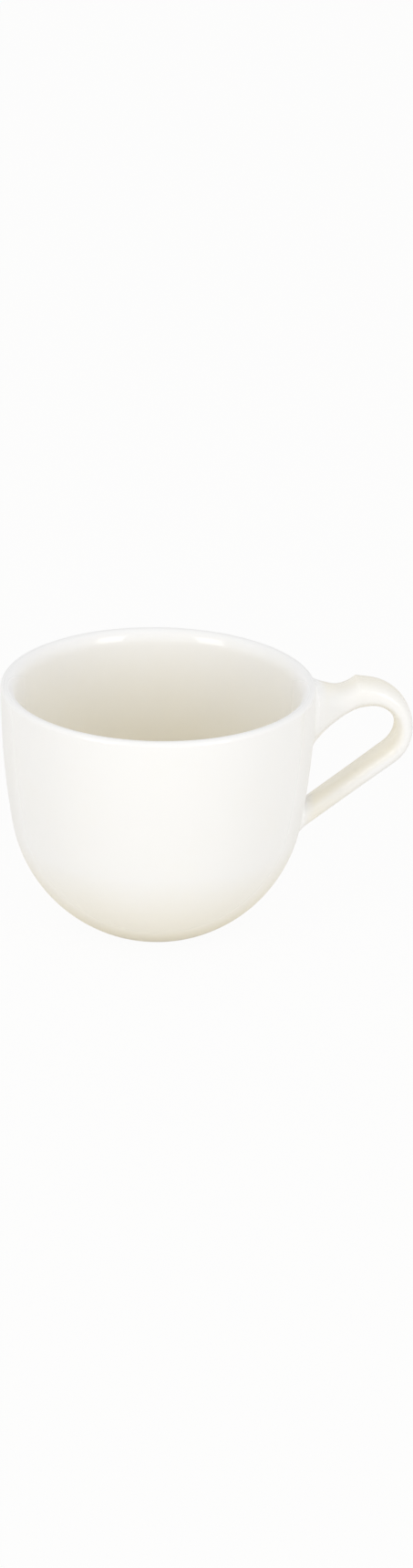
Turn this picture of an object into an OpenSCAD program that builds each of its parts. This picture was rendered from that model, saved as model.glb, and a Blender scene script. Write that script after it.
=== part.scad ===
// Breakfast cup in thick glazed porcelain: a round bowl on a low foot ring, with a one-finger handle.
// The foot ring and the handle are separate clay pieces, each bedded on a thin layer of slip.
// The origin is the centre of the foot ring on the table, +Z is up and the handle points along +X.

/* [Bowl] */
// Outer diameter of the rim
rim_d = 100; // [90:1:120]
// Height of the rim above the table
cup_h = 82; // [74:1:98]
// How far the rim stands out past the belly
rim_flare = 3; // [1:0.5:5]
// Thickness of the wall
wall = 4.5; // [3.5:0.25:6]
// Radius of the outer edge of the lip
lip_r = 1.5; // [1:0.25:2]
// Depth over which the inner edge of the lip rolls down into the wall
roll_h = 5; // [3:0.5:8]
// Diameter of the flat underside
base_d = 47; // [42:0.5:60]
// Thickness of the floor at its middle
floor_t = 4.5; // [3.5:0.25:7]
// Radius of the shallow dish of the floor
dish_r = 110; // [80:5:200]
// Radius of the curve between the floor and the wall
knuckle_r = 18; // [12:1:24]

/* [Foot] */
// Height of the foot ring
foot_h = 2; // [1.25:0.25:2.5]
// Width of the foot ring where it joins the bowl
foot_w = 8; // [7:0.25:10]
// How far the inner side of the foot ring leans out towards the table
foot_taper = 0.9; // [0.3:0.1:1.2]
// Chamfer on the inner edge of the standing face
foot_edge = 0.5; // [0.2:0.1:0.6]

/* [Handle] */
// How far the handle reaches past the rim
handle_reach = 31.75; // [27:0.25:40]
// Radius of the bend, to the middle of the handle
bend_r = 11; // [9:0.5:13]
// Drop from the rim to the centre of the bend
bend_drop = 17.25; // [15:0.25:22]
// Drop from the rim to the top of the upper root
upper_root_drop = 0.75; // [0.5:0.25:4]
// Drop from the rim to the middle of the lower root
lower_root_drop = 47.5; // [42:0.5:52]
// Thickness of the handle under the thumb rest
crest_t = 6.75; // [5:0.25:9]
// Thickness of the handle at the bend
bend_t = 5.25; // [4:0.25:8]
// Thickness of the lower leg
leg_t = 6.25; // [4.5:0.25:8]
// Width of the handle at the upper root
root_w = 14; // [10:0.5:18]
// Width of the handle round the bend
grip_w = 12.5; // [9:0.5:16]
// Width of the lower leg
leg_w = 11.25; // [8:0.25:15]
// Spread of the upper root above its middle
root_rise = 7.5; // [6:0.25:9]
// Spread of the upper root below its middle
root_fall = 13.75; // [9:0.25:15]
// Length over which the upper root spreads
root_spread = 15; // [10:0.5:18]
// Spread of the lower root down the wall
toe_fall = 2; // [0:0.25:4]
// Length over which the lower root spreads
toe_spread = 8; // [4:0.5:12]

/* [Thumb rest] */
// Distance along the handle from the wall to the ridge of the thumb rest
thumb_at = 14.5; // [12:0.5:18]
// Height of the ridge over the handle
thumb_h = 3.5; // [1:0.25:4.5]
// Length of the slope from the dip up to the ridge
thumb_rise = 9; // [5:0.5:12]
// Length of the slope from the ridge down to the bend
thumb_fall = 26; // [12:0.5:30]

/* [Slip] */
// Thickness of the slip between two joined pieces
slip_t = 0.4; // [0.2:0.1:0.8]

/* [Hidden] */
$fn = 144;
arc_step = 3;
fine_step = 1.5;
lip_step = 15;
roll_step = 10;
mouth_clear = 20;
glaze = "#f4efe3";
bisque = "#e6dac4";
damp_clay = "#ece3d2";

// Outside of the bowl: a belly arc on the axis runs into a long side arc that is upright at the lip
rim_r = rim_d / 2;
base_r = base_d / 2;
lip_z = cup_h - lip_r;
base_z = foot_h + slip_t;
belly_r = rim_r - rim_flare;
belly_z = base_z + sqrt(belly_r ^ 2 - base_r ^ 2);
side_turn = 2 * atan(rim_flare / (lip_z - belly_z));
side_r = belly_r + (lip_z - belly_z) / sin(side_turn);
side_x = rim_r - side_r;
side_z = belly_z - belly_r * sin(side_turn);
function wall_x(z) = z < side_z
    ? sqrt(belly_r ^ 2 - (z - belly_z) ^ 2)
    : side_x + sqrt(side_r ^ 2 - (z - lip_z) ^ 2);

// Inside of the bowl: the lip rolls over onto the wall, and a knuckle arc touches both the inner
// belly arc and the dish of the floor
inner_r = belly_r - wall;
inner_side_r = side_r - wall;
roll_z = cup_h - roll_h;
roll_turn = asin((roll_z - lip_z) / inner_side_r);
roll_w = rim_r - lip_r - side_x - inner_side_r * cos(roll_turn);
dish_z = base_z + floor_t + dish_r;
arc_gap = dish_z - belly_z;
knuckle_in = inner_r - knuckle_r;
knuckle_up = (arc_gap ^ 2 + knuckle_in ^ 2 - (dish_r - knuckle_r) ^ 2) / (2 * arc_gap);
knuckle = [sqrt(knuckle_in ^ 2 - knuckle_up ^ 2), belly_z + knuckle_up];
function heading(v) = atan2(v[1], v[0]);
knuckle_start = heading(knuckle - [0, belly_z]);
knuckle_end = heading(knuckle - [0, dish_z]);

// Points of an arc after its first one, and the half outlines made of such arcs
function arc(centre, r, from, to, step, stretch = 1) = let (n = ceil(abs(to - from) / step)) [
    for (i = [1:n]) let (a = from + (to - from) * i / n) centre + r * [cos(a), stretch * sin(a)]
];
function outside(grow) = let (r = belly_r + grow, edge = -asin((belly_z - base_z) / r)) concat(
    [[r * cos(edge), base_z]],
    arc([0, belly_z], r, edge, -side_turn, arc_step),
    arc([side_x, lip_z], side_r + grow, -side_turn, 0, fine_step)
);
function lip(grow) = arc([rim_r - lip_r, lip_z], lip_r + grow, 0, 90, lip_step);
inside = concat(
    arc([rim_r - lip_r, roll_z], roll_w, 90, 180, roll_step, roll_h / roll_w),
    arc([side_x, lip_z], inner_side_r, roll_turn, -side_turn, fine_step),
    arc([0, belly_z], inner_r, -side_turn, knuckle_start, arc_step),
    arc(knuckle, knuckle_r, knuckle_start, knuckle_end, 2 * arc_step),
    arc([0, dish_z], dish_r, knuckle_end, -90, arc_step)
);

// Foot ring: the belly arc runs on down its outer side to the table
foot_out = wall_x(foot_h);
foot_in = foot_out - foot_w;
seat_turn = asin((foot_h - belly_z) / belly_r);
stand_turn = asin(-belly_z / belly_r);

// Middle line of the handle: two straight legs that touch one round bend
bend = [rim_r + handle_reach - bend_t / 2 - bend_r, cup_h - bend_drop];
upper_z = cup_h - upper_root_drop - root_rise;
lower_z = cup_h - lower_root_drop;
upper_root = [wall_x(upper_z), upper_z];
lower_root = [wall_x(lower_z), lower_z];
upper_span = norm(bend - upper_root);
lower_span = norm(bend - lower_root);
upper_leg = sqrt(upper_span ^ 2 - bend_r ^ 2);
lower_leg = sqrt(lower_span ^ 2 - bend_r ^ 2);
bend_start = heading(bend - upper_root) + asin(bend_r / upper_span) + 90;
bend_end = heading(bend - lower_root) - asin(bend_r / lower_span) - 90;
bend_len = bend_r * (bend_start - bend_end) * PI / 180;
handle_len = upper_leg + bend_len + lower_leg;
grip_at = upper_leg + bend_len / 2;

// How the sweep of the handle is drawn
buried = 9;
ring_step = 1.25;
section_sides = 28;
section_power = 0.88;

function smooth(x) = let (c = max(0, min(1, x))) c * c * (3 - 2 * c);
function blend(a, b, x) = a + (b - a) * smooth(x);
function falling(x) = max(0, 1 - max(0, x)) ^ 2;

// Shape of the handle at a distance along its middle line from the upper root
function facing(s) = max(bend_end, min(bend_start, bend_start - (s - upper_leg) / bend_r * 180 / PI));
function past_bend(s) = s < upper_leg ? s - upper_leg : max(0, s - upper_leg - bend_len);
function middle(s) = let (a = facing(s))
    bend + bend_r * [cos(a), sin(a)] + past_bend(s) * [sin(a), -cos(a)];
function half_t(s) = s < grip_at
    ? blend(crest_t, bend_t, s / grip_at) / 2
    : blend(bend_t, leg_t, (s - grip_at) / (bend_len / 2)) / 2;
function thumb(s) = thumb_h * falling(s < thumb_at
    ? (thumb_at - s) / thumb_rise
    : (s - thumb_at) / thumb_fall);
function outer_t(s) = half_t(s) + thumb(s) + (root_rise - crest_t / 2) * falling(s / root_spread)
    + toe_fall * falling((handle_len + toe_spread / 2 - s) / toe_spread);
function inner_t(s) = half_t(s) + (root_fall - crest_t / 2) * falling(s / root_spread);
function half_w(s) = s < upper_leg
    ? blend(root_w, grip_w, s / upper_leg) / 2
    : blend(grip_w, leg_w, (s - grip_at) / lower_leg) / 2;
function rounded(x) = sign(x) * abs(x) ^ section_power;
function ring(s) = let (a = facing(s), m = middle(s)) [
    for (j = [0:section_sides - 1])
        let (turn = 360 * j / section_sides, c = cos(turn),
            out = rounded(c) * (c > 0 ? outer_t(s) : inner_t(s)))
        [m[0] + out * cos(a), half_w(s) * rounded(sin(turn)), m[1] + out * sin(a)]
];

// Everything inside the outer face of the bowl, grown outwards and closed over the mouth
module bowl_core(grow = 0) {
    mouth = [[rim_r - lip_r, cup_h + mouth_clear], [0, cup_h + mouth_clear], [0, base_z]];
    rotate_extrude() polygon(concat(outside(grow), lip(grow), mouth));
}

module handle_sweep() {
    steps = ceil((handle_len + 2 * buried) / ring_step);
    rings = [for (i = [0:steps]) ring((handle_len + 2 * buried) * i / steps - buried)];
    last = steps * section_sides;
    sides = [
        for (i = [0:steps - 1], j = [0:section_sides - 1])
            let (k = (j + 1) % section_sides, a = i * section_sides, b = a + section_sides)
            each [[a + j, b + k, b + j], [a + j, a + k, b + k]]
    ];
    first_end = [for (j = [section_sides - 1:-1:0]) j];
    last_end = [for (j = [0:section_sides - 1]) last + j];
    polyhedron([for (r = rings) each r], concat(sides, [first_end, last_end]));
}

// Slip bed under one root of the handle, between two heights
module handle_slip(low, high) {
    difference() {
        intersection() {
            handle_sweep();
            bowl_core(slip_t);
            translate([0, -rim_r, low]) cube([rim_d, rim_d, high - low]);
        }
        bowl_core();
    }
}
root_split = (upper_z + lower_z) / 2;

module bowl() {
    color(glaze) rotate_extrude() polygon(concat([[0, base_z]], outside(0), lip(0), inside));
}

module foot_slip() {
    color(damp_clay) rotate_extrude() translate([foot_in, foot_h]) square([foot_w, slip_t]);
}

module foot_ring() {
    low_in = foot_in + foot_taper;
    color(bisque) rotate_extrude() polygon(concat(
        [[foot_in, foot_h], [low_in, foot_edge], [low_in + foot_edge, 0], [wall_x(0), 0]],
        arc([0, belly_z], belly_r, stand_turn, seat_turn, fine_step)
    ));
}

module upper_handle_slip() {
    color(damp_clay) handle_slip(root_split, cup_h);
}

module lower_handle_slip() {
    color(damp_clay) handle_slip(base_z, root_split);
}

module handle() {
    color(glaze) difference() {
        handle_sweep();
        bowl_core(slip_t);
    }
}

bowl();
foot_slip();
foot_ring();
upper_handle_slip();
lower_handle_slip();
handle();
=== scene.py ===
from collections import namedtuple
from math import asin, atan, atan2, ceil, cos, hypot, pi, radians, sin, sqrt

import bpy
from bpy.props import FloatProperty, FloatVectorProperty, PointerProperty
from mathutils import Euler, Matrix, Vector


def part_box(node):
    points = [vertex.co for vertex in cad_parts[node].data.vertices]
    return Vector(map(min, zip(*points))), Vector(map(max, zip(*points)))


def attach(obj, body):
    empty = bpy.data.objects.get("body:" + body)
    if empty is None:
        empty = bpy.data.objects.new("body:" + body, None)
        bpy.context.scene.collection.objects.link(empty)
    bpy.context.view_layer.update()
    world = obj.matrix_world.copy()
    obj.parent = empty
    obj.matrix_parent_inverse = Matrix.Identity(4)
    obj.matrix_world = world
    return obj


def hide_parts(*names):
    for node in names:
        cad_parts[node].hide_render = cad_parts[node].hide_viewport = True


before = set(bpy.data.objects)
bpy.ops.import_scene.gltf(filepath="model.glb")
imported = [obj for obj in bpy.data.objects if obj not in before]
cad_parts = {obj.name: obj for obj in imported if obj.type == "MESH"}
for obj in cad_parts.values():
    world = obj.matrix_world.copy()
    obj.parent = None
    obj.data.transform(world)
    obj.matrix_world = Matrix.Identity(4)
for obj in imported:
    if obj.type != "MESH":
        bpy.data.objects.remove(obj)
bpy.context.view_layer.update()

bl_info = {
    "name": "Breakfast Cup",
    "version": (1, 0, 0),
    "blender": (4, 5, 0),
    "location": "3D View > Sidebar > Cup",
    "description": "Models a glazed porcelain breakfast cup piece by piece and sets up a small studio",
    "category": "Add Mesh",
}

BOWL_LOW, BOWL_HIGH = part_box("bowl")
FOOT_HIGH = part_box("foot_ring")[1]
UPPER_LOW, UPPER_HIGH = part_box("upper_handle_slip")
LOWER_LOW, LOWER_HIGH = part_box("lower_handle_slip")

# Fineness of the meshes
WHEEL_STEPS = 180
BELLY_STEP = radians(2)
SIDE_STEP = radians(0.4)
LIP_STEP = radians(7.5)
ROLL_STEP = radians(6)
KNUCKLE_STEP = radians(4)
DISH_STEP = radians(1.5)
COVE_POINTS = 7
HANDLE_CORNER = 5
SLIP_CORNER = 20
STATION_STEP = 0.00125
SMOOTH_LEVELS = 2
RIDGE_CREASE = 0.6
FILLET_SEGMENTS = 10
FILLET_SHARE = 92
MERGE_GAP = 1e-6
SMOOTH_ANGLE = radians(25)

# Where the glaze runs thick and where shade is painted into its colour: heights over the table, and lengths
# over which it thickens
POOL_AND_SHADE_EDGE = 0.003
POOL_AND_SHADE_CLEAR = 0.0009
POOL_AND_SHADE_DEPTH = 0.036
POOL_AND_SHADE_LOW = 0.034
POOL_AND_SHADE_RISE = 0.026
POOL_AND_SHADE_SIDE = 0.0078
POOL_AND_SHADE_STRAP = 0.0065
POOL_AND_SHADE_TOP = 0.016
POOL_AND_SHADE_LEG = 0.052
POOL_AND_SHADE_RUN = 0.020

# Patterns of the glaze and the clay: bumps per metre, and how many finer layers they have
Pattern = namedtuple("Pattern", "scale detail")
CLOUDS = Pattern(45, 3)
SPECKS = Pattern(300, 4)
WAVES = Pattern(120, 2)
RIPPLES = Pattern(900, 1)
RAGGED_LINE = Pattern(420, 3)
GRAIN = Pattern(5200, 2)
WEAR = Pattern(900, 4)

# How far the patterns sway the thickness of the glaze, its roughness and its relief
CLOUD_POOLING = 0.3
SPECK_POOLING = 0.12
EVEN_ROUGHNESS = 0.7
CLOUD_ROUGHNESS = 0.4
SPECK_ROUGHNESS = 0.2
RIPPLE_HEIGHT = 0.12
GLAZE_RELIEF = 0.12
RELIEF_HEIGHT = 0.0002
GLAZE_IOR = 1.5

# Where the gloss fades on the way to a grazing view, and how rough the glaze is in that view
GRAZING_FROM = 0.6
GRAZING_TO = 0.85
GRAZING_ROUGHNESS = 0.94

# The line where the glaze stops, as shares of the foot's edge, and the clay below it
GLAZE_LINE = 1.25
GLAZE_LINE_SOFT = 0.25
GLAZE_LINE_RAGGED = 0.7
WEAR_FROM = 0.52
WEAR_TO = 0.77
FOOT_RELIEF = 0.3
FOOT_WAVES = 0.3
CLAY_GRAIN = 0.25
CLAY_ROUGHNESS = 0.1

WHITE = (1, 1, 1, 1)


def length(name, description, default):
    """A length that a user can change."""
    return FloatProperty(
        name=name, description=description, default=default, min=0.0, unit="LENGTH", subtype="DISTANCE"
    )


def angle(name, description, default):
    """An angle that a user can change, given here in degrees."""
    return FloatProperty(
        name=name, description=description, default=radians(default), unit="ROTATION", subtype="ANGLE"
    )


def share(name, description, default):
    """A number from 0 to 1 that a user can change."""
    return FloatProperty(
        name=name, description=description, default=default, min=0.0, max=1.0, subtype="FACTOR"
    )


def power(name, description, default):
    """A lamp's power that a user can change."""
    return FloatProperty(name=name, description=description, default=default, min=0.0, unit="POWER")


def colour(name, description, default):
    """A colour that a user can change."""
    return FloatVectorProperty(
        name=name, description=description, default=default, size=3, min=0.0, max=1.0, subtype="COLOR"
    )


class BowlSizes(bpy.types.PropertyGroup):
    """Sizes of the bowl"""

    rim_radius: length("Rim radius", "Outer radius of the rim", BOWL_HIGH.y)
    rim_height: length("Rim height", "Height of the rim above the table", BOWL_HIGH.z)
    rim_flare: length("Rim flare", "How far the rim stands out past the belly", 0.003)
    wall: length("Wall", "Thickness of the wall", 0.0045)
    lip_radius: length("Lip radius", "Radius of the outer edge of the lip", 0.0015)
    roll_depth: length("Roll depth", "Depth over which the lip rolls down into the wall", 0.005)
    base_radius: length("Base radius", "Radius of the flat underside", 0.0235)
    base_height: length("Base height", "Height of the underside above the table", BOWL_LOW.z)
    floor: length("Floor", "Thickness of the floor at its middle", 0.0045)
    dish_radius: length("Dish radius", "Radius of the shallow dish of the floor", 0.110)
    knuckle_radius: length("Knuckle radius", "Radius of the curve between floor and wall", 0.018)


class FootSizes(bpy.types.PropertyGroup):
    """Sizes of the foot ring and its slip"""

    height: length("Foot height", "Height of the foot ring", FOOT_HIGH.z)
    width: length("Foot width", "Width of the foot ring where it joins the bowl", 0.008)
    taper: length("Foot taper", "How far the inner side of the foot ring leans out to the table", 0.0009)
    edge: length("Foot edge", "Radius of the inner edge of the standing face", 0.0006)
    roll: length("Foot roll", "Radius with which the belly rolls onto the standing face", 0.002)
    cove: length("Slip cove", "How far the wiped slip reaches out from the joint", 0.0011)


class HandleSizes(bpy.types.PropertyGroup):
    """Sizes of the handle and its slips"""

    reach: length("Reach", "How far the handle reaches past the rim", 0.03175)
    bend_radius: length("Bend radius", "Radius of the bend, to the middle of the handle", 0.011)
    bend_drop: length("Bend drop", "Drop from the rim to the centre of the bend", 0.01725)
    upper_drop: length("Upper root drop", "Drop from the rim to the top of the upper root", 0.00075)
    lower_drop: length("Lower root drop", "Drop from the rim to the middle of the lower root", 0.0475)
    crest_depth: length("Crest depth", "Thickness of the handle under the thumb rest", 0.00675)
    bend_depth: length("Bend depth", "Thickness of the handle at the bend", 0.00525)
    leg_depth: length("Leg depth", "Thickness of the lower leg", 0.00625)
    root_width: length("Root width", "Width of the handle at the upper root", UPPER_HIGH.y - UPPER_LOW.y)
    grip_width: length("Grip width", "Width of the handle round the bend", 0.0125)
    leg_width: length("Leg width", "Width of the lower leg", LOWER_HIGH.y - LOWER_LOW.y)
    root_rise: length("Root rise", "Spread of the upper root above its middle", 0.0075)
    root_fall: length("Root fall", "Spread of the upper root below its middle", 0.01375)
    root_spread: length("Root spread", "Length over which the upper root spreads", 0.015)
    toe_fall: length("Toe fall", "Spread of the lower root down the wall", 0.002)
    toe_spread: length("Toe spread", "Length over which the lower root spreads", 0.008)
    thumb_at: length("Thumb rest place", "Distance from the wall to the ridge of the thumb rest", 0.0145)
    thumb_height: length("Thumb rest height", "Height of the ridge over the handle", 0.0035)
    thumb_rise: length("Thumb rest rise", "Length of the slope up to the ridge", 0.009)
    thumb_fall: length("Thumb rest fall", "Length of the slope from the ridge to the bend", 0.026)
    roundness: share("Roundness", "Roundness of the corners of the handle's section", 0.82)
    upper_fillet: length("Upper fillet", "How far the slip reaches out round the upper root", 0.002)
    lip_fillet: length("Lip fillet", "How far the slip reaches up from the upper root to the lip", 0.0002)
    lower_fillet: length("Lower fillet", "How far the slip reaches out beside the lower root", 0.0016)
    toe_fillet: length("Toe fillet", "How far the slip reaches down the wall under the lower root", 0.0038)
    crotch_fillet: length("Crotch fillet", "How far the slip reaches up the wall in the finger gap", 0.0008)


class FinishColours(bpy.types.PropertyGroup):
    """Colours and gloss of the porcelain"""

    glaze: colour("Glaze", "White of the glaze where it lies evenly", (0.950, 0.947, 0.942))
    # The pooled colour is partly real thick glaze and partly painted shade: warmer and darker where the cup
    # lies in shade
    pooled_glaze_and_shade: colour("Pooled glaze", "Ivory of the glaze where it has run thick", (0.955, 0.915, 0.805))
    bare_clay: colour("Bare clay", "Unglazed clay of the standing edge", (0.72, 0.66, 0.56))
    worn_clay: colour("Worn clay", "Clay where it has rubbed on tables", (0.50, 0.47, 0.42))
    gloss: share("Glaze roughness", "Roughness of the glaze", 0.06)
    matt: share("Clay roughness", "Roughness of the bare clay", 0.72)


class StudioSettings(bpy.types.PropertyGroup):
    """Camera, floor and lamps"""

    floor: colour("Floor", "Colour of the floor", (0.77, 0.75, 0.695))
    backdrop: share("Background white", "Share of the floor that shows as plain white background", 0.94)
    walls: share("Walls", "Brightness of the soft light from the studio walls", 0.95)
    ceiling: share("Ceiling", "Brightness of the soft light from the studio ceiling", 0.6)
    softbox: power("Softboxes", "Power of each of the two softboxes in front", 5.3)
    back_lamp: power("Back lamp", "Power of the large soft lamp behind", 1.0)
    camera_turn: angle("Camera turn", "How far the camera is turned round the cup", -7.5)
    camera_pitch: angle("Camera pitch", "How far the camera looks down", 23.255)
    camera_roll: angle("Camera roll", "How far the camera leans to one side", 1.14)
    camera_lens: FloatProperty(
        name="Lens", description="Focal length of the camera", default=92.2, min=1.0, unit="CAMERA"
    )
    camera_back: length("Camera back", "Distance from the cup's axis back to the camera", 1.181)
    camera_aside: length("Camera aside", "Distance of the camera to the right of the cup's axis", 0.0158)
    camera_height: length("Camera height", "Height of the camera over the floor", 0.5549)


def on_arc(centre, radius, turn, stretch=1.0):
    """One point of an upright arc."""
    return Vector((centre[0] + radius * cos(turn), 0, centre[1] + radius * stretch * sin(turn)))


def arc(centre, radius, start, end, step, stretch=1.0):
    """Points of an upright arc after its first one."""
    count = ceil(abs(end - start) / step)
    turns = [start + (end - start) * i / count for i in range(1, count + 1)]
    return [on_arc(centre, radius, turn, stretch) for turn in turns]


def cove(start, corner, end):
    """Points of a hollow curve that leaves start towards the corner and comes from it to end."""
    shares = [i / (COVE_POINTS - 1) for i in range(COVE_POINTS)]
    return [start * (1 - t) ** 2 + corner * 2 * t * (1 - t) + end * t ** 2 for t in shares]


def ease(x):
    """A smooth step from 0 to 1."""
    x = max(0.0, min(1.0, x))
    return x * x * (3 - 2 * x)


def blend(a, b, x):
    """The value between a and b at a smooth step."""
    return a + (b - a) * ease(x)


def falling(x):
    """A curve that falls from 1 at 0 and lies down flat at 1."""
    return max(0.0, 1 - max(0.0, x)) ** 2


class BowlShape:
    """The arcs of the bowl's outer and inner faces."""

    def __init__(self, sizes):
        self.rim = sizes.rim_radius
        self.top = sizes.rim_height
        self.base = sizes.base_height
        self.lip = sizes.lip_radius
        self.lip_z = self.top - self.lip
        self.belly = self.rim - sizes.rim_flare
        self.belly_z = self.base + sqrt(self.belly ** 2 - sizes.base_radius ** 2)
        rise = self.lip_z - self.belly_z
        self.side_turn = 2 * atan(sizes.rim_flare / rise)
        self.side = self.belly + rise / sin(self.side_turn)
        self.side_x = self.rim - self.side
        self.side_z = self.belly_z - self.belly * sin(self.side_turn)
        self.wall = sizes.wall
        self.roll_depth = sizes.roll_depth
        self.dish = sizes.dish_radius
        self.dish_z = self.base + sizes.floor + self.dish
        self.knuckle = sizes.knuckle_radius

    def wall_at(self, z):
        """Outer radius of the wall at a height, and the angle of the face there over the horizontal."""
        if z < self.side_z:
            turn = asin((z - self.belly_z) / self.belly)
            return self.belly * cos(turn), turn
        turn = asin((z - self.lip_z) / self.side)
        return self.side_x + self.side * cos(turn), turn

    def outside(self):
        """The belly arc, the long side arc and the outer edge of the lip."""
        edge = -asin((self.belly_z - self.base) / self.belly)
        return (
            [Vector((self.belly * cos(edge), 0, self.base))]
            + arc((0, self.belly_z), self.belly, edge, -self.side_turn, BELLY_STEP)
            + arc((self.side_x, self.lip_z), self.side, -self.side_turn, 0, SIDE_STEP)
            + arc((self.rim - self.lip, self.lip_z), self.lip, 0, pi / 2, LIP_STEP)
        )

    def inside(self):
        """The roll of the lip, the inner wall, the knuckle and the dish of the floor."""
        side = self.side - self.wall
        belly = self.belly - self.wall
        roll_z = self.top - self.roll_depth
        roll_turn = asin((roll_z - self.lip_z) / side)
        roll = self.rim - self.lip - self.side_x - side * cos(roll_turn)
        gap = self.dish_z - self.belly_z
        reach = belly - self.knuckle
        lift = (gap ** 2 + reach ** 2 - (self.dish - self.knuckle) ** 2) / (2 * gap)
        knuckle = (sqrt(reach ** 2 - lift ** 2), self.belly_z + lift)
        start = atan2(lift, knuckle[0])
        end = atan2(knuckle[1] - self.dish_z, knuckle[0])
        return (
            arc((self.rim - self.lip, roll_z), roll, pi / 2, pi, ROLL_STEP, self.roll_depth / roll)
            + arc((self.side_x, self.lip_z), side, roll_turn, -self.side_turn, SIDE_STEP)
            + arc((0, self.belly_z), belly, -self.side_turn, start, BELLY_STEP)
            + arc(knuckle, self.knuckle, start, end, KNUCKLE_STEP)
            + arc((0, self.dish_z), self.dish, end, -pi / 2, DISH_STEP)
        )

    def outline(self):
        """The whole half outline, from the middle of the underside to the middle of the dish."""
        return [Vector((0, 0, self.base))] + self.outside() + self.inside()


# A section of the handle: its centre, the angle that its outer face looks towards, and its half sizes
Station = namedtuple("Station", "centre turn half_depth half_width")
# An end of the handle: its place along the middle line, the way into the wall and the wall's angle
Root = namedtuple("Root", "at inward wall_turn")
# A fillet of slip: its length along the handle, its lean there, and how far it spreads on the wall
Fillet = namedtuple("Fillet", "out lean outer inner side")


class HandleShape:
    """The handle's middle line, two straight legs that touch one round bend, and its section along it."""

    square_to_wall = 0.0025
    ease_to_wall = 0.009

    def __init__(self, sizes, bowl):
        self.sizes = sizes
        top = bowl.top
        bend_x = bowl.rim + sizes.reach - sizes.bend_depth / 2 - sizes.bend_radius
        self.bend = (bend_x, top - sizes.bend_drop)
        upper_z = top - sizes.upper_drop - sizes.root_rise
        lower_z = top - sizes.lower_drop
        upper_x, upper_turn = bowl.wall_at(upper_z)
        lower_x, lower_turn = bowl.wall_at(lower_z)
        self.start, self.upper_leg = self.touch(upper_x, upper_z, 1)
        self.end, self.lower_leg = self.touch(lower_x, lower_z, -1)
        self.bend_length = sizes.bend_radius * (self.start - self.end)
        self.length = self.upper_leg + self.bend_length + self.lower_leg
        self.grip_at = self.upper_leg + self.bend_length / 2
        self.upper = Root(0, -1, upper_turn + pi / 2)
        self.lower = Root(self.length, 1, lower_turn - pi / 2)

    def touch(self, x, z, side):
        """The angle at which a leg from a root touches the bend, and the leg's length."""
        across, up = self.bend[0] - x, self.bend[1] - z
        span = hypot(across, up)
        radius = self.sizes.bend_radius
        return atan2(up, across) + side * (asin(radius / span) + pi / 2), sqrt(span ** 2 - radius ** 2)

    def facing(self, s):
        """The angle that the outer face looks towards."""
        return max(self.end, min(self.start, self.start - (s - self.upper_leg) / self.sizes.bend_radius))

    def middle(self, s):
        """The point of the middle line."""
        turn = self.facing(s)
        past = s - self.upper_leg if s < self.upper_leg else max(0, s - self.upper_leg - self.bend_length)
        x = self.bend[0] + self.sizes.bend_radius * cos(turn) + past * sin(turn)
        z = self.bend[1] + self.sizes.bend_radius * sin(turn) - past * cos(turn)
        return Vector((x, 0, z))

    def half_depth(self, s):
        """Half of the thickness, before the roots and the thumb rest are added."""
        sizes = self.sizes
        if s < self.grip_at:
            return blend(sizes.crest_depth, sizes.bend_depth, s / self.grip_at) / 2
        return blend(sizes.bend_depth, sizes.leg_depth, (s - self.grip_at) / (self.bend_length / 2)) / 2

    def thumb(self, s):
        """Height of the thumb rest over the handle."""
        sizes = self.sizes
        from_ridge = s - sizes.thumb_at
        slope = -sizes.thumb_rise if from_ridge < 0 else sizes.thumb_fall
        return sizes.thumb_height * falling(from_ridge / slope)

    def outer(self, s):
        """From the middle line to the outer face."""
        sizes = self.sizes
        root = (sizes.root_rise - sizes.crest_depth / 2) * falling(s / sizes.root_spread)
        toe = sizes.toe_fall * falling((self.length + sizes.toe_spread / 2 - s) / sizes.toe_spread)
        return self.half_depth(s) + self.thumb(s) + root + toe

    def inner(self, s):
        """From the middle line to the inner face."""
        sizes = self.sizes
        root = (sizes.root_fall - sizes.crest_depth / 2) * falling(s / sizes.root_spread)
        return self.half_depth(s) + root

    def half_width(self, s):
        """Half of the width."""
        sizes = self.sizes
        if s < self.upper_leg:
            return blend(sizes.root_width, sizes.grip_width, s / self.upper_leg) / 2
        return blend(sizes.grip_width, sizes.leg_width, (s - self.grip_at) / self.lower_leg) / 2

    def tilt(self, s):
        """How far the section leans, so that it lies along the wall at each root."""
        lean = 0
        for root in (self.upper, self.lower):
            off = abs(s - root.at) - self.square_to_wall if (s - root.at) * root.inward < 0 else 0
            lean += (root.wall_turn - self.facing(root.at)) * (1 - ease(off / self.ease_to_wall))
        return lean

    def station(self, s):
        """Place and size of the section."""
        lean = self.tilt(s)
        turn = self.facing(s) + lean
        outer, inner = self.outer(s) / cos(lean), self.inner(s) / cos(lean)
        up = Vector((cos(turn), 0, sin(turn)))
        centre = self.middle(s) + up * (outer - inner) / 2
        return Station(centre, turn, (outer + inner) / 2, self.half_width(s))

    def stations(self, first, last):
        """Even steps from first to the thumb rest's ridge and from there to last, as two lists."""
        ridge = self.sizes.thumb_at
        stretches = []
        for start, end in ((first, ridge), (ridge, last)):
            count = ceil((end - start) / STATION_STEP)
            stretches.append([self.station(start + (end - start) * i / count) for i in range(count)])
        stretches[1].append(self.station(last))
        return stretches


def start_drawing(name):
    """A new mesh in edit mode, all selected: a square of side 2 at the origin."""
    bpy.ops.object.select_all(action="DESELECT")
    bpy.ops.mesh.primitive_plane_add(size=2, enter_editmode=True)
    piece = bpy.context.object
    piece.name = name
    piece.data.name = name
    return piece


def close_drawing(piece):
    """Merge the seams, point the faces outwards and leave edit mode with smooth faces."""
    bpy.ops.mesh.select_all(action="SELECT")
    bpy.ops.mesh.remove_doubles(threshold=MERGE_GAP)
    bpy.ops.mesh.normals_make_consistent(inside=False)
    bpy.ops.object.mode_set(mode="OBJECT")
    bpy.ops.object.shade_smooth_by_angle(angle=SMOOTH_ANGLE)
    return piece


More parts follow.
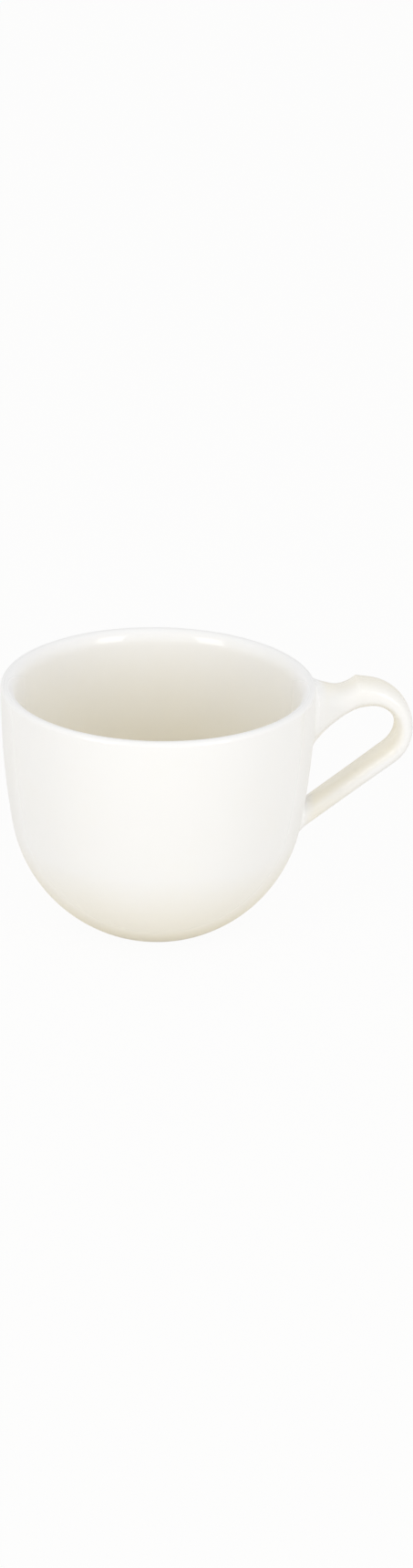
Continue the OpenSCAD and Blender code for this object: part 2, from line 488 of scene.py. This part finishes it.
def turn_on_wheel(name, outline, closed=False):
    """Draw a half outline by extruding one vertex along it, and spin it round the cup's axis."""
    piece = start_drawing(name)
    bpy.ops.mesh.merge(type="CENTER")
    bpy.ops.transform.translate(value=outline[0])
    points = outline + outline[:1] if closed else outline
    for here, there in zip(points, points[1:]):
        bpy.ops.mesh.extrude_vertices_move(TRANSFORM_OT_translate={"value": there - here})
    bpy.ops.mesh.select_all(action="SELECT")
    bpy.ops.mesh.spin(steps=WHEEL_STEPS, angle=2 * pi, center=(0, 0, 0), axis=(0, 0, 1))
    return close_drawing(piece)


class Sweep:
    """A section with rounded corners that is extruded from station to station."""

    def __init__(self, name, station, roundness, segments):
        self.piece = start_drawing(name)
        bpy.ops.mesh.bevel(offset=roundness, segments=segments, affect="VERTICES")
        bpy.ops.mesh.select_all(action="SELECT")
        bpy.ops.mesh.delete(type="ONLY_FACE")
        bpy.ops.mesh.select_all(action="SELECT")
        # Leaving edit mode numbers the ring's vertices afresh, so that later rings follow in order
        bpy.ops.object.mode_set(mode="OBJECT")
        bpy.ops.object.mode_set(mode="EDIT")
        self.sides = 4 * (segments + 1)
        self.now = Station(Vector(), 0, 1, 1)
        self.place(station)

    def place(self, station):
        """Move, turn and stretch the selected ring to a station."""
        centre = station.centre
        bpy.ops.transform.translate(value=centre - self.now.centre)
        bpy.ops.transform.rotate(
            value=station.turn - self.now.turn, orient_axis="Y", center_override=centre
        )
        bpy.ops.transform.resize(
            value=(station.half_depth / self.now.half_depth, station.half_width / self.now.half_width, 1),
            orient_type="GLOBAL",
            orient_matrix=Matrix.Rotation(-station.turn, 3, "Y"),
            orient_matrix_type="GLOBAL",
            center_override=centre,
        )
        self.now = station

    def extrude_to(self, station):
        """Extrude the selected ring and place the new one."""
        bpy.ops.mesh.extrude_edges_move(TRANSFORM_OT_translate={"value": (0, 0, 0)})
        self.place(station)

    def select_rings(self, *rings):
        """Select whole rings by their order along the sweep."""
        bpy.ops.mesh.select_all(action="DESELECT")
        bpy.ops.object.mode_set(mode="OBJECT")
        for ring in rings:
            for vertex in self.piece.data.vertices[ring * self.sides:(ring + 1) * self.sides]:
                vertex.select = True
        bpy.ops.object.mode_set(mode="EDIT")


def finish_with(piece, kind, **settings):
    """Add a modifier to the active piece and apply it."""
    modifier = piece.modifiers.new(kind.title(), kind)
    for name, value in settings.items():
        setattr(modifier, name, value)
    bpy.ops.object.modifier_apply(modifier=modifier.name)


def dress(piece, material, slot, *nodes):
    """Give a finished piece its material and its place in the frame."""
    piece.data.materials.clear()
    piece.data.materials.append(material)
    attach(piece, "root")
    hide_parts(*nodes)


class Wire:
    """A socket of a node tree that takes part in Python expressions."""

    def __init__(self, tree, socket=None):
        self.tree = tree
        self.socket = socket

    def node(self, kind, settings=None, values=None, output=0):
        """Add a node, set it up, then fill or link its sockets, and give back one output."""
        made = self.tree.nodes.new(kind)
        for name, value in (settings or {}).items():
            setattr(made, name, value)
        for name, value in (values or {}).items():
            if isinstance(value, Wire):
                self.tree.links.new(value.socket, made.inputs[name])
            else:
                made.inputs[name].default_value = value
        return Wire(self.tree, made.outputs[output] if made.outputs else None)

    def math(self, operation, first, second=0.0):
        """A Math node on one or two values."""
        return self.node("ShaderNodeMath", {"operation": operation}, {0: first, 1: second})

    def __add__(self, other):
        return self.math("ADD", self, other)

    def __radd__(self, other):
        return self.math("ADD", other, self)

    def __sub__(self, other):
        return self.math("SUBTRACT", self, other)

    def __rsub__(self, other):
        return self.math("SUBTRACT", other, self)

    def __mul__(self, other):
        return self.math("MULTIPLY", self, other)

    def __rmul__(self, other):
        return self.math("MULTIPLY", other, self)

    def __truediv__(self, other):
        return self.math("DIVIDE", self, other)

    def most(self, other):
        """The larger of two values."""
        return self.math("MAXIMUM", self, other)

    def least(self, other):
        """The smaller of two values."""
        return self.math("MINIMUM", self, other)

    def clamped(self):
        """The value held between 0 and 1."""
        return self.most(0.0).least(1.0)

    def ramp(self, start, end):
        """0 where the value is at start, 1 where it is at end, and held at these beyond them."""
        return ((self - start) / (end - start)).clamped()

    def noise(self, place, pattern):
        """Smooth noise from 0 to 1."""
        return self.node(
            "ShaderNodeTexNoise", {}, {"Vector": place, "Scale": pattern.scale, "Detail": pattern.detail}
        )

    def mix(self, factor, first, second):
        """A colour between two colours, by the numbers of the node's colour sockets."""
        return self.node(
            "ShaderNodeMix", {"data_type": "RGBA"}, {0: factor, 6: first, 7: second}, output=2
        )


def solid(tone):
    """A colour with its alpha."""
    return (*tone, 1.0)


def new_material(name):
    """An empty material and its wires."""
    material = bpy.data.materials.new(name)
    material.use_nodes = True
    tree = material.node_tree
    tree.nodes.clear()
    return material, Wire(tree)


def part_of(wires, place, axis):
    """One coordinate of a place."""
    return wires.node("ShaderNodeSeparateXYZ", {}, {0: place}, output=axis)


def pooling_and_painted_shade(wires, place, bowl, handle):
    """How thick the glaze has run, partly real pooling and partly painted shade: warmer and darker deep in
    the bowl, low on the belly, and on the handle in its finger gap, low down and along the middle of its
    top.
    """
    x, y, z = (part_of(wires, place, axis) for axis in "XYZ")
    below = (z - bowl.belly_z).least(0.0)
    above = (z - bowl.belly_z).most(0.0)
    spread = wires.math("SQRT", x * x + y * y + below * below)
    middle = bowl.belly - bowl.wall / 2 + above * ((bowl.rim - bowl.belly) / (bowl.lip_z - bowl.belly_z))
    inside = (middle - spread).ramp(-POOL_AND_SHADE_EDGE / 2, POOL_AND_SHADE_EDGE / 2)
    depth = z.ramp(bowl.top, bowl.top - POOL_AND_SHADE_DEPTH)
    low = z.ramp(POOL_AND_SHADE_LOW, POOL_AND_SHADE_LOW - POOL_AND_SHADE_RISE)
    outside = bowl.wall / 2 + POOL_AND_SHADE_CLEAR
    beyond = (spread - middle).ramp(outside, outside + POOL_AND_SHADE_EDGE)
    leg = Vector((sin(handle.end), -cos(handle.end)))
    from_bend = (x - handle.bend[0], z - handle.bend[1])
    along = (from_bend[0] * leg.x + from_bend[1] * leg.y).most(0.0)
    across = (from_bend[0] - along * leg.x, from_bend[1] - along * leg.y)
    from_gap = wires.math("SQRT", across[0] * across[0] + across[1] * across[1])
    inner_face = handle.sizes.bend_radius - handle.sizes.bend_depth / 2
    gap = from_gap.ramp(handle.sizes.bend_radius, inner_face)
    middle_of_strap = wires.math("ABSOLUTE", y).ramp(POOL_AND_SHADE_SIDE, POOL_AND_SHADE_SIDE - POOL_AND_SHADE_STRAP)
    top = z.ramp(bowl.top - POOL_AND_SHADE_TOP, bowl.top)
    low_on_leg = z.ramp(POOL_AND_SHADE_LEG, POOL_AND_SHADE_LEG - POOL_AND_SHADE_RUN)
    return (inside * depth).most(low).most(beyond * gap.most(low_on_leg).most(top * middle_of_strap))


def glaze_tone(wires, place, scene):
    """The glaze's colour, roughness and faint waves, shared by all glazed pieces."""
    finish = scene.cup_finish
    bowl = BowlShape(scene.cup_bowl)
    handle = HandleShape(scene.cup_handle, bowl)
    clouds = wires.noise(place, CLOUDS)
    specks = wires.noise(place, SPECKS)
    sway = (clouds - 0.5) * CLOUD_POOLING + (specks - 0.5) * SPECK_POOLING
    # Painted shade, partly real pooling: the glaze turns warmer and darker inside the bowl, low on the
    # belly and on shaded parts of the handle
    pool_and_shade = (pooling_and_painted_shade(wires, place, bowl, handle) + sway).clamped()
    tone = wires.mix(pool_and_shade, solid(finish.glaze), solid(finish.pooled_glaze_and_shade))
    uneven = EVEN_ROUGHNESS + clouds * CLOUD_ROUGHNESS + specks * SPECK_ROUGHNESS
    facing = wires.node("ShaderNodeLayerWeight", {}, {"Blend": 0.5}, output="Facing")
    grazing = facing.ramp(GRAZING_FROM, GRAZING_TO)
    rough = uneven * finish.gloss + grazing * GRAZING_ROUGHNESS
    waves = wires.noise(place, WAVES) + wires.noise(place, RIPPLES) * RIPPLE_HEIGHT
    return tone, rough, waves


def finish_material(wires, tone, rough, relief, strength):
    """Shade a material by its colour, its roughness and a fine relief."""
    bump = wires.node(
        "ShaderNodeBump", {}, {"Strength": strength, "Distance": RELIEF_HEIGHT, "Height": relief}
    )
    shader = wires.node(
        "ShaderNodeBsdfPrincipled",
        {},
        {"Base Color": tone, "Roughness": rough, "Normal": bump, "IOR": GLAZE_IOR},
    )
    wires.node("ShaderNodeOutputMaterial", {}, {"Surface": shader})


def glazed_porcelain(scene):
    """Ivory glaze over porcelain: soft clouds of tone, uneven gloss and faint waves."""
    name = "ivory_glaze"
    if name in bpy.data.materials:
        return bpy.data.materials[name]
    material, wires = new_material(name)
    place = wires.node("ShaderNodeTexCoord", output="Object")
    tone, rough, waves = glaze_tone(wires, place, scene)
    finish_material(wires, tone, rough, waves, GLAZE_RELIEF)
    return material


def bare_porcelain(scene):
    """Glaze that stops short of the table, with a ground and rubbed standing edge of bare clay."""
    name = "glaze_over_bare_clay"
    if name in bpy.data.materials:
        return bpy.data.materials[name]
    material, wires = new_material(name)
    place = wires.node("ShaderNodeTexCoord", output="Object")
    finish, edge = scene.cup_finish, scene.cup_foot.edge
    tone, rough, waves = glaze_tone(wires, place, scene)
    ragged = wires.noise(place, RAGGED_LINE) * (edge * GLAZE_LINE_RAGGED)
    glaze_line = edge * GLAZE_LINE
    bare = (part_of(wires, place, "Z") + ragged).ramp(glaze_line + edge * GLAZE_LINE_SOFT, glaze_line)
    glazed = 1 - bare
    grain = wires.noise(place, GRAIN)
    worn = wires.noise(place, WEAR).ramp(WEAR_FROM, WEAR_TO) * bare
    clay = wires.mix(worn, solid(finish.bare_clay), solid(finish.worn_clay))
    finish_material(
        wires,
        wires.mix(bare, tone, clay),
        rough * glazed + (finish.matt + grain * CLAY_ROUGHNESS) * bare,
        waves * FOOT_WAVES * glazed + grain * CLAY_GRAIN * bare,
        FOOT_RELIEF,
    )
    return material


def seen_directly(wires):
    """1 for rays that show the background: from the camera, in a gloss or through glass."""
    camera, gloss, glass = (
        wires.node("ShaderNodeLightPath", output=kind)
        for kind in ("Is Camera Ray", "Is Glossy Ray", "Is Transmission Ray")
    )
    return camera.most(gloss).most(glass)


def studio_floor(studio):
    """Pale floor that shows partly as plain white background and keeps the cup's shadow."""
    material, wires = new_material("studio_floor")
    matt = wires.node("ShaderNodeBsdfDiffuse", {}, {"Color": solid(studio.floor)})
    white = wires.node("ShaderNodeEmission", {}, {"Color": WHITE, "Strength": 1.0})
    mixed = wires.node(
        "ShaderNodeMixShader", {}, {0: seen_directly(wires) * studio.backdrop, 1: matt, 2: white}
    )
    wires.node("ShaderNodeOutputMaterial", {}, {"Surface": mixed})
    return material


def white_sky(studio):
    """Soft light from the walls and the ceiling, plain white where it is seen."""
    world = bpy.data.worlds.new("studio_sky")
    bpy.context.scene.world = world
    world.use_nodes = True
    world.node_tree.nodes.clear()
    wires = Wire(world.node_tree)
    seen = seen_directly(wires)
    direction = wires.node("ShaderNodeTexCoord", output="Generated")
    height = part_of(wires, direction, "Z").clamped()
    strength = seen + (1 - seen) * (studio.walls + height * (studio.ceiling - studio.walls))
    light = wires.node("ShaderNodeBackground", {}, {"Color": WHITE, "Strength": strength})
    wires.node("ShaderNodeOutputWorld", {}, {"Surface": light})


def soft_lamp(name, size, watts, place, aim):
    """A rectangular lamp that faces a point."""
    bpy.ops.object.select_all(action="DESELECT")
    turn = (Vector(aim) - Vector(place)).to_track_quat("-Z", "Y").to_euler()
    bpy.ops.object.light_add(type="AREA", location=place, rotation=turn)
    lamp = bpy.context.object
    lamp.name = name
    lamp.data.shape = "RECTANGLE"
    lamp.data.size, lamp.data.size_y = size
    lamp.data.energy = watts


def made_piece(name):
    """A finished piece, which the slips are wiped onto."""
    if name not in bpy.data.objects:
        raise RuntimeError("Model the bowl and the handle before the slips of the handle")
    return bpy.data.objects[name]


class CUP_OT_bowl(bpy.types.Operator):
    """Turn the bowl, with its rolled lip, belly and dished floor"""

    bl_idname = "cup.bowl"
    bl_label = "Bowl"

    def execute(self, context):
        scene = context.scene
        bowl = BowlShape(scene.cup_bowl)
        piece = turn_on_wheel("bowl_glazed", bowl.outline())
        dress(piece, glazed_porcelain(scene), "glazed_porcelain", "bowl")
        return {"FINISHED"}


class CUP_OT_foot_ring(bpy.types.Operator):
    """Turn the foot ring, with leaning sides and a rounded standing edge"""

    bl_idname = "cup.foot_ring"
    bl_label = "Foot ring"

    def execute(self, context):
        scene = context.scene
        foot, bowl = scene.cup_foot, BowlShape(scene.cup_bowl)
        seat, seat_turn = bowl.wall_at(foot.height)
        inner = seat - foot.width
        lean = atan(foot.taper / foot.height)
        low_inner = inner + foot.taper + foot.edge
        roll_x = sqrt((bowl.belly - foot.roll) ** 2 - (bowl.belly_z - foot.roll) ** 2)
        roll_turn = atan2(foot.roll - bowl.belly_z, roll_x)
        outline = (
            [Vector((inner, 0, foot.height))]
            + arc((low_inner, foot.edge), foot.edge, pi + lean, 1.5 * pi, LIP_STEP)
            + [Vector((roll_x, 0, 0))]
            + arc((roll_x, foot.roll), foot.roll, -pi / 2, roll_turn, LIP_STEP / 2)
            + arc((0, bowl.belly_z), bowl.belly, roll_turn, seat_turn, BELLY_STEP / 2)
        )
        piece = turn_on_wheel("foot_ring_ground", outline, closed=True)
        dress(piece, bare_porcelain(scene), "bare_porcelain", "foot_ring")
        return {"FINISHED"}


class CUP_OT_foot_slip(bpy.types.Operator):
    """Turn the slip between foot ring and bowl, wiped flush outside and into a cove inside"""

    bl_idname = "cup.foot_slip"
    bl_label = "Foot slip"

    band = 0.0005
    proud = 0.00001
    sink_share = 0.12

    def execute(self, context):
        scene = context.scene
        foot, bowl = scene.cup_foot, BowlShape(scene.cup_bowl)
        seat = bowl.wall_at(foot.height)[0]
        low_turn = bowl.wall_at(foot.height - self.band)[1]
        high_turn = bowl.wall_at(bowl.base + self.band)[1]
        centre = (0, bowl.belly_z)
        sunk = bowl.belly - foot.cove / 2
        flush = bowl.belly + self.proud
        band = (
            [on_arc(centre, sunk, low_turn), on_arc(centre, flush, low_turn)]
            + arc(centre, flush, low_turn, high_turn, BELLY_STEP / 4)
            + [on_arc(centre, sunk, high_turn)]
        )
        side = seat - foot.width
        lean = foot.taper / foot.height
        sink = foot.cove * self.sink_share
        inner = cove(
            Vector((side - foot.cove, 0, bowl.base + sink)),
            Vector((side, 0, bowl.base)),
            Vector((side + lean * foot.cove + sink, 0, foot.height - foot.cove)),
        )
        inside_clay = [Vector((seat - foot.width / 2, 0, bowl.base + foot.cove))]
        piece = turn_on_wheel("foot_slip_cove", band + inside_clay + inner, closed=True)
        dress(piece, glazed_porcelain(scene), "glazed_porcelain", "foot_slip")
        return {"FINISHED"}


class CUP_OT_handle(bpy.types.Operator):
    """Pull the handle, a rounded strap with a trumpet root, a thumb rest and one bend"""

    bl_idname = "cup.handle"
    bl_label = "Handle"

    buried = 0.0012

    def execute(self, context):
        scene = context.scene
        bowl = BowlShape(scene.cup_bowl)
        shape = HandleShape(scene.cup_handle, bowl)
        rise, fall = shape.stations(-self.buried, shape.length + self.buried)
        first, *others = rise + fall
        sweep = Sweep("handle_pulled", first, scene.cup_handle.roundness, HANDLE_CORNER)
        bpy.ops.mesh.edge_face_add()
        bpy.ops.mesh.select_all(action="SELECT")
        for station in others:
            sweep.extrude_to(station)
        bpy.ops.mesh.edge_face_add()
        sweep.select_rings(len(rise))
        bpy.ops.transform.edge_crease(value=RIDGE_CREASE)
        piece = close_drawing(sweep.piece)
        finish_with(piece, "SUBSURF", levels=SMOOTH_LEVELS, render_levels=SMOOTH_LEVELS)
        bpy.ops.object.shade_smooth()
        dress(piece, glazed_porcelain(scene), "glazed_porcelain", "handle")
        return {"FINISHED"}


class CUP_OT_handle_slips(bpy.types.Operator):
    """Wipe the slip into a fillet round both roots of the handle"""

    bl_idname = "cup.handle_slips"
    bl_label = "Handle slips"

    sink = 0.00006
    shell = 0.0002
    upper_lean = radians(8)
    lower_lean = radians(24)

    def wipe(self, name, root, shape, fillet, wall, handle):
        """One fillet: rings on the handle, in the corner and on the wall, with the corner rounded."""
        corner = shape.station(root.at)
        square = shape.station(root.at - root.inward * fillet.out)
        on_handle = square._replace(
            turn=square.turn + fillet.lean, half_depth=square.half_depth / cos(fillet.lean)
        )
        up = Vector((cos(corner.turn), 0, sin(corner.turn)))
        on_wall = Station(
            corner.centre + up * (fillet.outer - fillet.inner) / 2,
            corner.turn,
            corner.half_depth + (fillet.outer + fillet.inner) / 2,
            corner.half_width + fillet.side,
        )
        sweep = Sweep(name, on_handle, shape.sizes.roundness, SLIP_CORNER)
        sweep.extrude_to(corner)
        sweep.extrude_to(on_wall)
        piece = sweep.piece
        for target, rings in ((handle, (0,)), (wall, (1, 2))):
            sweep.select_rings(*rings)
            bpy.ops.object.vertex_group_add()
            bpy.ops.object.vertex_group_assign()
            bpy.ops.object.mode_set(mode="OBJECT")
            finish_with(
                piece,
                "SHRINKWRAP",
                target=target,
                vertex_group=piece.vertex_groups.active.name,
                wrap_mode="ABOVE_SURFACE",
                offset=-self.sink,
            )
            bpy.ops.object.mode_set(mode="EDIT")
        sweep.select_rings(1)
        bpy.ops.mesh.bevel(
            offset_type="PERCENT", offset_pct=FILLET_SHARE, segments=FILLET_SEGMENTS, affect="EDGES"
        )
        close_drawing(piece)
        finish_with(piece, "SOLIDIFY", thickness=self.shell, offset=-1)
        bpy.ops.object.shade_smooth_by_angle(angle=SMOOTH_ANGLE)
        return piece

    def execute(self, context):
        scene = context.scene
        sizes = scene.cup_handle
        bowl = BowlShape(scene.cup_bowl)
        shape = HandleShape(sizes, bowl)
        wall, handle = made_piece("bowl_glazed"), made_piece("handle_pulled")
        flank = sizes.upper_fillet
        upper = Fillet(flank, self.upper_lean, sizes.lip_fillet, flank, flank)
        mean = (sizes.toe_fillet + sizes.crotch_fillet) / 2
        lower = Fillet(mean, self.lower_lean, sizes.toe_fillet, sizes.crotch_fillet, sizes.lower_fillet)
        fillets = {"upper_handle_slip": (shape.upper, upper), "lower_handle_slip": (shape.lower, lower)}
        for node, (root, fillet) in fillets.items():
            piece = self.wipe(node + "_wiped", root, shape, fillet, wall, handle)
            dress(piece, glazed_porcelain(scene), "glazed_porcelain", node)
        return {"FINISHED"}


class CUP_OT_studio(bpy.types.Operator):
    """Set up the floor, the soft lamps, the white surroundings and the camera"""

    bl_idname = "cup.studio"
    bl_label = "Studio"

    floor_size = 12.0
    lamps_far = 1.5
    softbox_size = (0.6, 1.0)
    softbox_turn = radians(41)
    softbox_height = 0.55
    back_lamp_size = (2.4, 1.6)
    back_lamp_height = 0.8
    nearest_seen = 0.01

    def execute(self, context):
        scene = context.scene
        studio = scene.cup_studio
        bpy.ops.object.select_all(action="DESELECT")
        bpy.ops.mesh.primitive_plane_add(size=self.floor_size)
        floor = context.object
        floor.name = "studio_floor"
        floor.data.materials.append(studio_floor(studio))
        white_sky(studio)
        aim = (0, 0, scene.cup_bowl.rim_height / 2)
        for side, name in ((-1, "softbox_left"), (1, "softbox_right")):
            turn = studio.camera_turn + side * self.softbox_turn
            place = (self.lamps_far * sin(turn), -self.lamps_far * cos(turn), self.softbox_height)
            soft_lamp(name, self.softbox_size, studio.softbox, place, aim)
        behind = (0, self.lamps_far, self.back_lamp_height)
        soft_lamp("back_lamp", self.back_lamp_size, studio.back_lamp, behind, aim)
        self.set_camera(scene, studio)
        scene.view_settings.view_transform = "Standard"
        return {"FINISHED"}

    def set_camera(self, scene, studio):
        """The camera stands in front of the cup, looks down on it and leans a little."""
        turn = Matrix.Rotation(studio.camera_turn, 3, "Z")
        place = turn @ Vector((studio.camera_aside, -studio.camera_back, studio.camera_height))
        look = Euler((pi / 2 - studio.camera_pitch, 0, studio.camera_turn)).to_matrix()
        lean = Matrix.Rotation(studio.camera_roll, 3, "Z")
        bpy.ops.object.select_all(action="DESELECT")
        bpy.ops.object.camera_add(location=place, rotation=(look @ lean).to_euler())
        camera = bpy.context.object
        camera.name = "photo_camera"
        camera.data.lens = studio.camera_lens
        camera.data.clip_start = self.nearest_seen
        scene.camera = camera


class CUP_PT_panel(bpy.types.Panel):
    """The cup's sizes, colours and pieces"""

    bl_idname = "CUP_PT_panel"
    bl_label = "Breakfast Cup"
    bl_space_type = "VIEW_3D"
    bl_region_type = "UI"
    bl_category = "Cup"

    def draw(self, context):
        layout = self.layout
        for operator in OPERATORS:
            layout.operator(operator.bl_idname)
        for name in GROUPS:
            group = getattr(context.scene, name)
            box = layout.box()
            box.label(text=group.bl_rna.description)
            for key in group.__annotations__:
                box.prop(group, key)


GROUPS = {
    "cup_bowl": BowlSizes,
    "cup_foot": FootSizes,
    "cup_handle": HandleSizes,
    "cup_finish": FinishColours,
    "cup_studio": StudioSettings,
}
OPERATORS = (
    CUP_OT_bowl,
    CUP_OT_foot_ring,
    CUP_OT_foot_slip,
    CUP_OT_handle,
    CUP_OT_handle_slips,
    CUP_OT_studio,
)
CLASSES = (*GROUPS.values(), *OPERATORS, CUP_PT_panel)


def register():
    for cls in CLASSES:
        bpy.utils.register_class(cls)
    for name, group in GROUPS.items():
        setattr(bpy.types.Scene, name, PointerProperty(type=group))


def unregister():
    for name in GROUPS:
        delattr(bpy.types.Scene, name)
    for cls in reversed(CLASSES):
        bpy.utils.unregister_class(cls)


def main():
    register()
    bpy.ops.cup.bowl()
    bpy.ops.cup.foot_ring()
    bpy.ops.cup.foot_slip()
    bpy.ops.cup.handle()
    bpy.ops.cup.handle_slips()
    bpy.ops.cup.studio()


if __name__ == "__main__":
    main()
